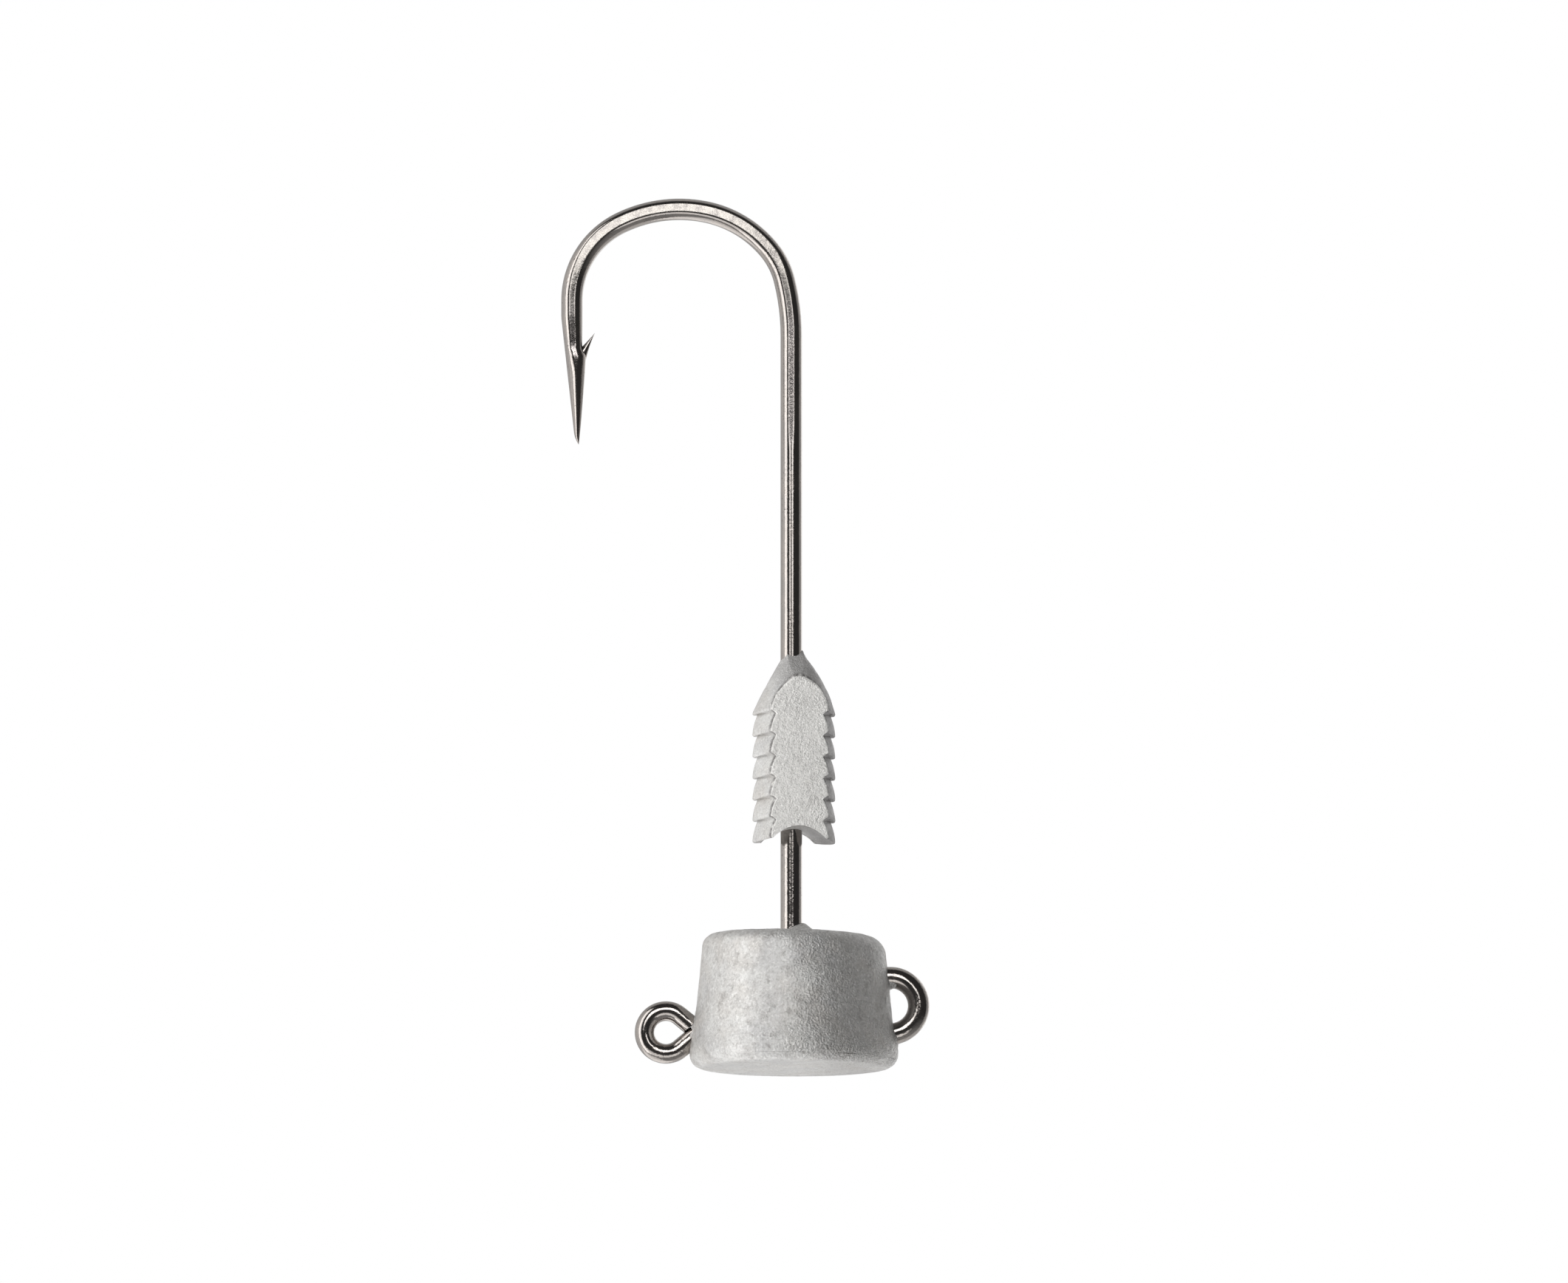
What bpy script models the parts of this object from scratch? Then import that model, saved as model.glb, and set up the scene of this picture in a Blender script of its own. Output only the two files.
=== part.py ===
"""Stand-up jig head: a long-shank jig hook whose eye end is cast into a round lead head, with a
lead bait keeper cast on the shank above it and a wire belly loop cast into the side of the head.

The origin is the middle of the head's flat base and +Z runs up along the shank. The hook lies in
the XZ plane, which is also the parting plane of the castings: the line eye and the hook point are
at -X, and the belly loop is at +X.
"""

import math

import bmesh
import bpy
from mathutils import Matrix, Vector

MM = 0.001

# Hook wire, and the gap that a casting keeps to the wire inside it
WIRE_DIAMETER = 1.40 * MM
EYE_WIRE_DIAMETER = 1.28 * MM
CAST_GAP = 0.05 * MM

# Hook: the shank stands beside the head's axis, bends over the gape and comes down to the point
SHANK_OFFSET = -0.165 * MM
SHANK_LENGTH = 39.1 * MM
GAPE = 14.24 * MM
BEND_SHAPE = ((15.1, 14), (5.05, 26), (7.2, 39), (8.65, 37), (5.65, 64))
POINT_LENGTH = 9.4 * MM
TAPER_LENGTH = 8.3 * MM
POINT_INSET = 0.44 * MM
BARB_FROM_TIP = 6.4 * MM
BARB_RISE = 0.85 * MM
BARB_STAND_OFF = 0.80 * MM
BARB_THICKNESS = 0.84 * MM
SWELL_BELOW_BARB = 0.26 * MM

# Forged flats on both faces of the bend, which run out into the round wire at both ends
FORGE_DEPTH = 0.08 * MM
FORGE_RUN_OUT = 1.6 * MM
FORGE_FROM_TIP = 5.3 * MM
FORGE_DOWN_SHANK = 7.2 * MM

# Eye: the wire turns through the head into a neck, then round into a closed ring, whose two arms
# meet just inside the head's side
NECK_HEIGHT = 2.33 * MM
NECK_BEND = 2.4 * MM
EYE_ARMS_SUNK = 0.35 * MM
EYE_HOLE = 1.50 * MM
EYE_ARM_ANGLE = 40
EYE_SHOULDER = 1.2 * MM

# Head: a round cone that swells into a rounded lip at its foot
HEAD_HEIGHT = 8.63 * MM
HEAD_RADIUS = 6.76 * MM
HEAD_DRAFT = 5.6
HEAD_TOP_FILLET = 0.95 * MM
LIP_SWELL = 0.17 * MM
LIP_HEIGHT = 1.15 * MM
LIP_START = 3.1 * MM
LIP_FILLET = 0.9 * MM

# Belly loop: a staple whose round end starts at the head's side, and whose lower leg splays
# downwards inside the head
LOOP_WIRE_DIAMETER = 1.40 * MM
LOOP_RADIUS = 1.83 * MM
LOOP_SUNK = 0.04 * MM
LOOP_HEIGHT = 4.07 * MM
LOOP_SPLAY = 19
LOOP_LEG = 3.2 * MM

# Bait keeper: a flat barbed bar, thickest at the parting plane's centre and drafted to both faces
KEEPER_LIFT = 6.0 * MM
KEEPER_THICKNESS = 3.6 * MM
KEEPER_TWIST = 12.5
BARB_ROWS = 7
BARB_PITCH = 1.385 * MM
BARB_DEPTH = 0.35 * MM
KEEPER_HALF_WIDTH = 2.74 * MM
FACE_HALF_WIDTH = 1.87 * MM
NOSE_HEIGHT = 4.05 * MM
FACE_NOSE_HEIGHT = 2.26 * MM
NOSE_LIP = 0.09 * MM
FOOT_ARCH = 0.85 * MM
NOSE_BULGE = 0.15 * MM
FACE_NOSE_BULGE = 0.35 * MM
DRAFT_POWER = 1.6

# Facets
WIRE_SIDES = 16
LATHE_STEPS = 64
ARC_STEP = 9

WIRE_RADIUS = WIRE_DIAMETER / 2
EYE_WIRE_RADIUS = EYE_WIRE_DIAMETER / 2
LOOP_WIRE_RADIUS = LOOP_WIRE_DIAMETER / 2


def side_radius(height):
    """The radius of the head's cone at a height, leaving out the swell of its lip."""
    return HEAD_RADIUS - LIP_SWELL - math.tan(math.radians(HEAD_DRAFT)) * (height - LIP_HEIGHT)


def clear_scene():
    """Remove whatever the scene holds."""
    for obj in list(bpy.data.objects):
        bpy.data.objects.remove(obj, do_unlink=True)


def material(name, color, roughness, metallic):
    """A Principled material."""
    mat = bpy.data.materials.new(name)
    mat.use_nodes = True
    shader = mat.node_tree.nodes["Principled BSDF"]
    shader.inputs["Base Color"].default_value = (*color, 1.0)
    shader.inputs["Roughness"].default_value = roughness
    shader.inputs["Metallic"].default_value = metallic
    return mat


def object_from(name, bm, mat=None):
    """An object that holds the bmesh, with round faces smooth and corners sharp."""
    bmesh.ops.recalc_face_normals(bm, faces=bm.faces)
    mesh = bpy.data.meshes.new(name)
    bm.to_mesh(mesh)
    bm.free()
    mesh.shade_smooth()
    mesh.set_sharp_from_angle(angle=math.radians(35))
    obj = bpy.data.objects.new(name, mesh)
    bpy.context.scene.collection.objects.link(obj)
    if mat:
        mesh.materials.append(mat)
    return obj


def helper(obj):
    """Mark an object as a cutter or a shape that is joined into another one."""
    obj.hide_render = True
    obj.display_type = "WIRE"
    return obj


def boolean(obj, other, operation):
    """Cut the other object from this one, or join it to this one."""
    modifier = obj.modifiers.new(other.name, "BOOLEAN")
    modifier.operation = operation
    modifier.solver = "EXACT"
    modifier.object = helper(other)


class Route:
    """A line in the XZ plane made of straight runs and arcs. Positive turns are to its left."""

    def __init__(self, x, z, heading):
        self.stations = [(x, z, heading)]

    def end(self):
        return self.stations[-1]

    def straight(self, length, runs=1):
        x, z, heading = self.end()
        angle = math.radians(heading)
        for i in range(1, runs + 1):
            reach = length * i / runs
            self.stations.append((x + reach * math.cos(angle), z + reach * math.sin(angle), heading))

    def arc(self, radius, turn):
        x, z, heading = self.end()
        side = math.copysign(90, turn)
        out = math.radians(heading + side)
        center_x = x + radius * math.cos(out)
        center_z = z + radius * math.sin(out)
        steps = max(1, math.ceil(abs(turn) / ARC_STEP))
        for i in range(1, steps + 1):
            now = heading + turn * i / steps
            back = math.radians(now - side)
            self.stations.append((center_x + radius * math.cos(back), center_z + radius * math.sin(back), now))


def lengths(stations):
    """How far along the line each station is."""
    reached = [0.0]
    for (x0, z0, _), (x1, z1, _) in zip(stations, stations[1:]):
        reached.append(reached[-1] + math.hypot(x1 - x0, z1 - z0))
    return reached


def round_section(radius):
    """(left side, right side, half thickness) of round wire."""
    return (radius, radius, radius)


def swept(stations, sections):
    """A closed bmesh along the stations. A section's sides are oval, and its faces at +Y and -Y are
    cut flat where its half thickness is less than its half width."""
    bm = bmesh.new()
    rings = []
    for (x, z, heading), (left, right, thickness) in zip(stations, sections):
        normal = math.radians(heading + 90)
        middle = (left - right) / 2
        half = (left + right) / 2
        ring = []
        for i in range(WIRE_SIDES):
            angle = 2 * math.pi * (i + 0.5) / WIRE_SIDES
            across = middle + half * math.cos(angle)
            depth = max(-thickness, min(thickness, half * math.sin(angle)))
            point = (x + across * math.cos(normal), depth, z + across * math.sin(normal))
            ring.append(bm.verts.new(point))
        rings.append(ring)
    for ring, following in zip(rings, rings[1:]):
        for i in range(WIRE_SIDES):
            j = (i + 1) % WIRE_SIDES
            bm.faces.new((ring[i], ring[j], following[j], following[i]))
    bm.faces.new(reversed(rings[0]))
    bm.faces.new(rings[-1])
    return bm


def eye_stations():
    """The wire's lower end, from the shank down through the head and round the ring to its cut end,
    which is trimmed along the arm that it closes against."""
    arm = math.radians(EYE_ARM_ANGLE)
    ring_radius = (EYE_HOLE + EYE_WIRE_DIAMETER) / 2
    arm_length = ring_radius / math.tan(arm)
    shoulder_length = EYE_SHOULDER * math.tan(arm / 2)
    crossing = EYE_ARMS_SUNK - side_radius(NECK_HEIGHT)
    neck_length = SHANK_OFFSET - NECK_BEND - crossing - shoulder_length
    end_clearance = (EYE_WIRE_RADIUS + CAST_GAP) / math.sin(2 * arm)
    route = Route(SHANK_OFFSET, NECK_HEIGHT + NECK_BEND, -90)
    route.arc(NECK_BEND, -90)
    route.straight(neck_length)
    route.arc(EYE_SHOULDER, EYE_ARM_ANGLE)
    route.straight(arm_length - shoulder_length)
    route.arc(ring_radius, -(180 + 2 * EYE_ARM_ANGLE))
    route.straight(arm_length - end_clearance)
    x, z, heading = route.stations.pop()
    route.stations.append((x, z, heading + 2 * EYE_ARM_ANGLE - 90))
    return route.stations


def bend_scale():
    """What makes the arcs of the bend span the gape."""
    trial = Route(0, 0, 90)
    for radius, turn in BEND_SHAPE:
        trial.arc(radius, turn)
    return -GAPE / trial.end()[0]


def shank_stations():
    """The wire's upper end, from inside the head up the shank, over the bend and down to the point."""
    route = Route(SHANK_OFFSET, NECK_HEIGHT + NECK_BEND, 90)
    bend_start = HEAD_HEIGHT + SHANK_LENGTH
    route.straight(bend_start - FORGE_DOWN_SHANK - route.end()[1])
    route.straight(FORGE_RUN_OUT, 2)
    route.straight(FORGE_DOWN_SHANK - FORGE_RUN_OUT)
    scale = bend_scale()
    for radius, turn in BEND_SHAPE:
        route.arc(radius * scale, turn)
    route.straight(POINT_LENGTH - TAPER_LENGTH)
    route.straight(TAPER_LENGTH, 14)
    return route.stations


def point_section(to_tip):
    """The ground and swollen wire below the bend, at this distance from the tip. The shank is to the
    left of the wire as it comes down."""
    if to_tip >= TAPER_LENGTH:
        return round_section(WIRE_RADIUS)
    share = to_tip / TAPER_LENGTH
    outer = WIRE_RADIUS - (WIRE_RADIUS + POINT_INSET / 2) * (1 - share)
    inner = WIRE_RADIUS - 0.1 * WIRE_RADIUS * (1 - share)
    if to_tip < BARB_FROM_TIP:
        below = to_tip / BARB_FROM_TIP
        inner = POINT_INSET + (WIRE_RADIUS + SWELL_BELOW_BARB - POINT_INSET) * below**0.8
    if to_tip < WIRE_RADIUS:
        sharpen = 1 - to_tip / WIRE_RADIUS
        outer -= (outer + POINT_INSET - 0.01 * MM) * sharpen**2
    half = (outer + inner) / 2
    return (inner, outer, max(half, 0.01 * MM))


def forge_amount(from_head_end, to_tip, flat_start):
    """How deep the forged flats are, from 0 on round wire to 1."""
    up = (from_head_end - flat_start) / FORGE_RUN_OUT
    down = (to_tip - FORGE_FROM_TIP) / FORGE_RUN_OUT
    return max(0.0, min(1.0, up, down))


def shank_sections(stations):
    reached = lengths(stations)
    flat_start = HEAD_HEIGHT + SHANK_LENGTH - FORGE_DOWN_SHANK - stations[0][1]
    sections = []
    for along in reached:
        to_tip = reached[-1] - along
        left, right, thickness = point_section(to_tip)
        forged = WIRE_RADIUS - FORGE_DEPTH * forge_amount(along, to_tip, flat_start)
        sections.append((left, right, min(thickness, forged)))
    return sections


def eye_sections(stations, grow=0.0):
    """The wire thins from the shank's size to the eye's size round the bend inside the head."""
    reached = lengths(stations)
    thinning = NECK_BEND * math.pi / 2
    sections = []
    for along in reached:
        share = min(1.0, along / thinning)
        sections.append(round_section(WIRE_RADIUS + (EYE_WIRE_RADIUS - WIRE_RADIUS) * share + grow))
    return sections


def turned_round(stations):
    """The same line walked the other way."""
    return [(x, z, heading + 180) for x, z, heading in reversed(stations)]


def make_barb():
    """A chisel-cut sliver that stands up from the inner side of the point."""
    bend_end = shank_stations()[-1]
    axis_x = bend_end[0]
    tip_z = bend_end[1]
    root = WIRE_RADIUS * 0.88
    outline = (
        (root + BARB_STAND_OFF + 0.06 * MM, BARB_FROM_TIP + BARB_RISE, 0.3),
        (root + 0.58 * BARB_STAND_OFF, BARB_FROM_TIP - 0.05 * MM, 0.8),
        (WIRE_RADIUS + SWELL_BELOW_BARB - 0.04 * MM, BARB_FROM_TIP - 0.9 * MM, 1.0),
        (0.0, BARB_FROM_TIP - 1.4 * MM, 0.9),
        (0.0, BARB_FROM_TIP - 0.2 * MM, 0.9),
        (root, BARB_FROM_TIP, 0.9),
    )
    bm = bmesh.new()
    faces = []
    for side in (-1, 1):
        ring = []
        for across, from_tip, share in outline:
            depth = side * share * BARB_THICKNESS / 2
            ring.append(bm.verts.new((axis_x + across, depth, tip_z + from_tip)))
        faces.append(ring)
    count = len(outline)
    for i in range(count):
        j = (i + 1) % count
        bm.faces.new((faces[0][i], faces[0][j], faces[1][j], faces[1][i]))
    bm.faces.new(faces[0])
    bm.faces.new(reversed(faces[1]))
    bmesh.ops.triangulate(bm, faces=bm.faces)
    return object_from("barb_shape", bm)


def make_hook(mat):
    """The hook, one piece of wire from its point to the cut end of its eye."""
    eye = eye_stations()
    shank = shank_stations()
    stations = turned_round(eye)[:-1] + shank
    sections = list(reversed(eye_sections(eye)))[:-1] + shank_sections(shank)
    hook = object_from("hook", swept(stations, sections), mat)
    boolean(hook, make_barb(), "UNION")
    return hook


def hook_channel():
    """The space that the wire takes in the castings, with the gap round it and open at both ends."""
    eye = eye_stations()
    below = Route(*eye[-1])
    below.straight(CAST_GAP)
    above = Route(*shank_stations()[0])
    above.straight(HEAD_HEIGHT + SHANK_LENGTH - above.end()[1])
    sections = eye_sections(eye, CAST_GAP)
    stations = turned_round(eye + below.stations[1:])[:-1] + above.stations
    sections = [sections[-1]] + list(reversed(sections))[:-1] + [round_section(WIRE_RADIUS + CAST_GAP)] * 2
    return object_from("hook_channel", swept(stations, sections))


def loop_stations(leg):
    """The belly loop, from the inner end of its upper leg to the inner end of its lower leg."""
    route = Route(side_radius(LOOP_HEIGHT) - LOOP_SUNK, LOOP_HEIGHT + LOOP_RADIUS, 0)
    route.arc(LOOP_RADIUS, LOOP_SPLAY - 180)
    route.straight(leg)
    x, z, heading = route.stations[0]
    return [(x - leg, z, heading)] + route.stations


def make_belly_loop(mat):
    stations = loop_stations(LOOP_LEG)
    sections = [round_section(LOOP_WIRE_RADIUS)] * len(stations)
    return object_from("belly_loop", swept(stations, sections), mat)


def loop_channel():
    stations = loop_stations(LOOP_LEG + CAST_GAP)
    sections = [round_section(LOOP_WIRE_RADIUS + CAST_GAP)] * len(stations)
    return object_from("loop_channel", swept(stations, sections))


def fillet(center, radius, start, end, steps):
    """Points of an arc about a center, between two angles in degrees."""
    points = []
    for i in range(steps + 1):
        angle = math.radians(start + (end - start) * i / steps)
        points.append((center[0] + radius * math.cos(angle), center[1] + radius * math.sin(angle)))
    return points


def head_profile():
    """(radius, height) from the middle of the top, down the outside, to the middle of the base."""
    shoulder = HEAD_HEIGHT - HEAD_TOP_FILLET
    top = fillet((side_radius(shoulder) - HEAD_TOP_FILLET, shoulder), HEAD_TOP_FILLET, 90, HEAD_DRAFT, 5)
    swell = []
    for share in (0.0, 0.35, 0.7, 1.0):
        height = LIP_START + (LIP_HEIGHT - LIP_START) * share
        swell.append((side_radius(height) + LIP_SWELL * share**2, height))
    foot = fillet((HEAD_RADIUS - LIP_FILLET, LIP_FILLET), LIP_FILLET, 0, -90, 5)
    return [(0.0, HEAD_HEIGHT), *top, *swell, *foot, (0.0, 0.0)]


def make_head(mat):
    """The head, turned from its profile, with the channels that the wires fill."""
    bm = bmesh.new()
    verts = [bm.verts.new((radius, 0, height)) for radius, height in head_profile()]
    edges = [bm.edges.new(pair) for pair in zip(verts, verts[1:])]
    bmesh.ops.spin(
        bm,
        geom=verts + edges,
        cent=(0, 0, 0),
        axis=(0, 0, 1),
        angle=2 * math.pi,
        steps=LATHE_STEPS,
        use_merge=True,
    )
    bmesh.ops.remove_doubles(bm, verts=bm.verts, dist=0.001 * MM)
    head = object_from("weight_head", bm, mat)
    boolean(head, hook_channel(), "DIFFERENCE")
    boolean(head, loop_channel(), "DIFFERENCE")
    return head


def mix(a, b, share):
    return a + (b - a) * share


def bulged(start, end, bulge, steps):
    """Points from start towards end, leaving the end out, on a line that bulges to its left."""
    points = []
    dx, dz = end[0] - start[0], end[1] - start[1]
    size = math.hypot(dx, dz)
    for i in range(steps):
        share = i / steps
        out = 4 * bulge * share * (1 - share) / size
        points.append((start[0] + dx * share - dz * out, start[1] + dz * share + dx * out))
    return points


def keeper_side(draft):
    """One side of the keeper's outline from its nose to its foot, as (half width, height above its
    foot). Draft goes from 0 at the parting plane to 1 at the faces."""
    lowest = KEEPER_BASE
    first = lowest + BARB_PITCH * (BARB_ROWS - 1)
    half = mix(KEEPER_HALF_WIDTH, FACE_HALF_WIDTH, draft)
    nose_half = mix(WIRE_RADIUS + CAST_GAP + NOSE_LIP, 0.12 * MM, draft)
    nose = (nose_half, first + mix(NOSE_HEIGHT, FACE_NOSE_HEIGHT, draft))
    points = []
    start = nose
    for row in range(BARB_ROWS):
        tip = first - BARB_PITCH * row + mix(0.12, 0.30, draft) * MM
        notch = (half - BARB_DEPTH, first - BARB_PITCH * row + mix(0.08, -0.04, draft) * MM)
        bulge = mix(NOSE_BULGE, FACE_NOSE_BULGE, draft) if row == 0 else 0.05 * MM
        steps = 6 if row == 0 else 2
        points += bulged(start, (half, tip), bulge, steps)
        points += [(half, tip), (half - 0.06 * MM, tip - 0.12 * MM)]
        if row < BARB_ROWS - 1:
            points.append(notch)
        start = notch
    return points


def keeper_outline(draft):
    """The whole outline as (x, z), down the +X side, along the arched foot and up the -X side."""
    side = keeper_side(draft)
    foot = side[-1][0] - 0.28 * MM
    base = side[-1][1]
    arch = []
    steps = 10
    for i in range(steps + 1):
        across = 1 - 2 * i / steps
        arch.append((foot * across, base + FOOT_ARCH * (1 - across**2)))
    left = [(-x, z) for x, z in reversed(side)]
    return side + arch + left


KEEPER_BASE = HEAD_HEIGHT + KEEPER_LIFT


def make_keeper(mat):
    """The bait keeper: outlines at several depths joined into one barbed bar, twisted a little about
    the shank, with the channel that the wire fills."""
    bm = bmesh.new()
    rings = []
    for depth in (-1.0, -0.55, 0.0, 0.55, 1.0):
        outline = keeper_outline(abs(depth) ** DRAFT_POWER)
        y = depth * KEEPER_THICKNESS / 2
        rings.append([bm.verts.new((x, y, z)) for x, z in outline])
    count = len(rings[0])
    for ring, following in zip(rings, rings[1:]):
        for i in range(count):
            j = (i + 1) % count
            bm.faces.new((ring[i], ring[j], following[j], following[i]))
    bm.faces.new(reversed(rings[0]))
    bm.faces.new(rings[-1])
    bmesh.ops.triangulate(bm, faces=bm.faces)
    twist = Matrix.Rotation(math.radians(KEEPER_TWIST), 4, Vector((0, 0, 1)))
    bmesh.ops.transform(bm, matrix=twist, verts=bm.verts)
    keeper = object_from("bait_keeper", bm, mat)
    boolean(keeper, bpy.data.objects["hook_channel"], "DIFFERENCE")
    return keeper


def main():
    clear_scene()
    lead = material("bare_lead", (0.60, 0.60, 0.59), 0.55, 0.6)
    nickel = material("black_nickel", (0.16, 0.15, 0.145), 0.2, 1.0)
    make_hook(nickel)
    make_belly_loop(nickel)
    make_head(lead)
    make_keeper(lead)


main()
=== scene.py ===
"""The looks of a stand-up jig head: a black nickel hook and belly loop in cast lead.

The frame gives the place of every piece. The hook lies in the XZ plane, with the line eye and the
point at -X and the belly loop at +X. Each piece repeats its CAD shape with a finer surface.
"""

import math

import bmesh
import bpy
from mathutils import Matrix, Vector, noise


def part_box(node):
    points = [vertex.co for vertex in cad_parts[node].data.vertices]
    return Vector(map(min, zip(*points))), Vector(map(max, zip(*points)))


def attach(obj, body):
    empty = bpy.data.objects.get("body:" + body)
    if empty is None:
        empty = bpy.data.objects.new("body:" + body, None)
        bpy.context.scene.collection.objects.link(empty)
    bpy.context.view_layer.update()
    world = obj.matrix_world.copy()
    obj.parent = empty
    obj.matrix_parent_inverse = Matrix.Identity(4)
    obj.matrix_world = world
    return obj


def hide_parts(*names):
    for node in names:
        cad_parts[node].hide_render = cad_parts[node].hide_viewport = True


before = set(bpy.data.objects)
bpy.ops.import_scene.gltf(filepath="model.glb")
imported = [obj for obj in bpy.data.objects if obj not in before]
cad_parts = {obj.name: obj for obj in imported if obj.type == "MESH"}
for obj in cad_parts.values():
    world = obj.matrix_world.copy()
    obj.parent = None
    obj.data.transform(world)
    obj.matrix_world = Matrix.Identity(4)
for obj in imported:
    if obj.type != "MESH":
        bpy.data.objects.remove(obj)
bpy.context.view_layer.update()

MM = 0.001

# Hook wire, as the CAD has it
WIRE_RADIUS = 0.70 * MM
EYE_WIRE_RADIUS = 0.64 * MM
SHANK_X = -0.165 * MM
SHANK_LENGTH = 39.1 * MM
GAPE = 14.24 * MM
BEND_SHAPE = ((15.1, 14), (5.05, 26), (7.2, 39), (8.65, 37), (5.65, 64))
POINT_LENGTH = 9.4 * MM
TAPER_LENGTH = 8.3 * MM
POINT_INSET = 0.44 * MM
SWELL_BELOW_BARB = 0.26 * MM
BARB_FROM_TIP = 6.4 * MM
FORGE_FROM_TIP = 5.3 * MM
FORGE_DOWN_SHANK = 7.2 * MM

# How the forged flats run along the hook
FORGE_RUN_OUT = 2.2 * MM
FORGE_DEPTH_STRAIGHT = 0.028 * MM
FORGE_DEPTH_BEND = 0.062 * MM
FORGE_TILT = 8.0
FORGE_SOFTNESS = 0.008 * MM
# Degrees the wire has turned where the bend's deeper flats begin, are full, start to fade and end
FORGE_BEND = (8, 45, 135, 172)
RIDGE_SHARPNESS = 1.45
RIDGE_FADES = (FORGE_FROM_TIP - 0.8 * MM, FORGE_FROM_TIP + 0.6 * MM)
THINNEST_POINT = 0.008 * MM

# Barb: three control points of each edge, right of the tip and above it, in millimetres
BARB_LOWER = ((0.80, 4.90), (0.98, 6.10), (1.476, 7.25))
BARB_UPPER = ((0.20, 5.95), (0.60, 6.28), (1.470, 7.26))
BARB_HALF_THICKNESS = (0.40, 0.05)
BARB_STEPS = 14
BARB_SIDES = 24

# Eye
NECK_HEIGHT = 2.33 * MM
NECK_BEND = 2.4 * MM
EYE_ARMS_SUNK = 0.35 * MM
EYE_HOLE = 1.50 * MM
EYE_ARM_ANGLE = 40
EYE_SHOULDER = 1.2 * MM

# Head. Its top slopes down to the right, and has one fillet at its left and one at its right.
HEAD_HEIGHT = 8.63 * MM
HEAD_RADIUS = 6.76 * MM
HEAD_DRAFT = 5.6
HEAD_TOP_FILLET = (0.85 * MM, 1.35 * MM)
HEAD_TOP_SLOPE = 0.016
LIP_SWELL = 0.17 * MM
LIP_HEIGHT = 1.15 * MM
LIP_START = 3.1 * MM
LIP_FILLET = 0.9 * MM
CREASE_ANGLE = 28.5
CREASE_WIDTH = 1.6
CREASE_DEPTH = 0.04 * MM
SKIN_SWELL = 0.020 * MM
SKIN_GRAIN = 0.006 * MM
MOUND_X = 0.45 * MM
MOUND_Y = -0.3 * MM
MOUND_RADIUS = 1.0 * MM
MOUND_HEIGHT = 0.78 * MM

# Belly loop
LOOP_RADIUS = 1.83 * MM
LOOP_WIRE_RADIUS = 0.70 * MM
LOOP_SUNK = 0.04 * MM
LOOP_HEIGHT = 4.07 * MM
WEB_FRONT = -0.26 * MM
WEB_HEIGHT = LOOP_HEIGHT + LOOP_RADIUS - 0.40 * MM
WEB_REACH = 0.25 * MM
WEB_LENGTH = 0.85 * MM
LOOP_SPLAY = 19
LOOP_LEG = 1.4 * MM

# Bait keeper
KEEPER_BASE = HEAD_HEIGHT + 6.0 * MM
KEEPER_THICKNESS = 3.6 * MM
KEEPER_TWIST = 12.5
BARB_ROWS = 7
BARB_PITCH = 1.385 * MM
BARB_DEPTH = 0.35 * MM
KEEPER_HALF_WIDTH = 2.74 * MM
FACE_HALF_WIDTH = 1.87 * MM
NOSE_HEIGHT = 4.05 * MM
FACE_NOSE_HEIGHT = 2.26 * MM
FOOT_ARCH = 0.85 * MM
FOOT_ARCH_FADE = 2.2 * MM
NOSE_START = KEEPER_BASE + BARB_PITCH * (BARB_ROWS - 1) + 1.7 * MM
NOSE_FULL = NOSE_START + 1.2 * MM
# How far below the keeper's top its nose starts to turn darker
NOSE_DARKENING = 2.4 * MM
NOSE_ROUND = 0.10 * MM
NOSE_SMOOTHING = 8
NOSE_HORN = 0.50 * MM
HORN_DEPTHS = (0.15, 0.45)
DRAFT_POWER = 1.6
FACE_FADE = (0.80, 1.0)
FACE_GRAIN = 0.020 * MM
FLANK_GRAIN = 0.012 * MM
TOOTH_BULGE = 0.06 * MM

# Keeper's sizes that change with depth: at its parting plane, and at its faces
NOSE_HALF_WIDTH = (0.70 * MM, 0.30 * MM)
NOSE_BULGE_RIGHT = (0.24 * MM, 0.42 * MM)
NOSE_BULGE_LEFT = (0.05 * MM, 0.30 * MM)
TOOTH_TIP = (0.12 * MM, 0.30 * MM)
TOOTH_NOTCH = (0.08 * MM, -0.04 * MM)

# Mesh fineness
WIRE_SIDES = 64
ARC_STEP = 2.5
RUN_STEP = 0.25 * MM
HEAD_SIDES = 320
TOP_ROWS = 30
EDGE_ROWS = 12
SIDE_ROWS = 46
FOOT_ANGLES = (
    -7, -14, -19, -23, -25, -26.5, -27.5, -28.5, -29.5, -30.5,
    -32, -35, -41, -48, -55, -62, -69, -76, -83, -90,
)
BASE_ROWS = 20
KEEPER_COLUMNS = 58
KEEPER_LAYERS = 22
SHARP_ANGLE = 50
KEEPER_SHARP_ANGLE = 60

# Colours of the wire
PLATE_COLORS = ((0.325, 0.302, 0.286), (0.355, 0.326, 0.304))
SPECK_COLOR = (0.12, 0.11, 0.105)
LEG_COLORS = ((0.13, 0.12, 0.118), (0.34, 0.315, 0.30))
BEND_COLORS = ((0.13, 0.122, 0.114), (0.25, 0.236, 0.214))

# Colours of the lead
GREY_COLORS = ((0.50, 0.495, 0.49), (0.53, 0.51, 0.485))
PALE_COLOR = (0.60, 0.595, 0.58)
STAIN_COLOR = (0.26, 0.242, 0.23)
# Dark specks and painted shade in the lead skin's hollows
HOLLOW_SPECK_AND_SHADE_COLOR = (0.20, 0.19, 0.185)
# Painted highlight on the lead skin's crests
CREST_HIGHLIGHT_COLOR = (0.86, 0.85, 0.835)
# Painted highlight on the lead web at the belly loop, and a paler patch round the eye's neck
PAINTED_LIGHT_AND_PALE_COLOR = (0.88, 0.87, 0.85)
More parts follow.
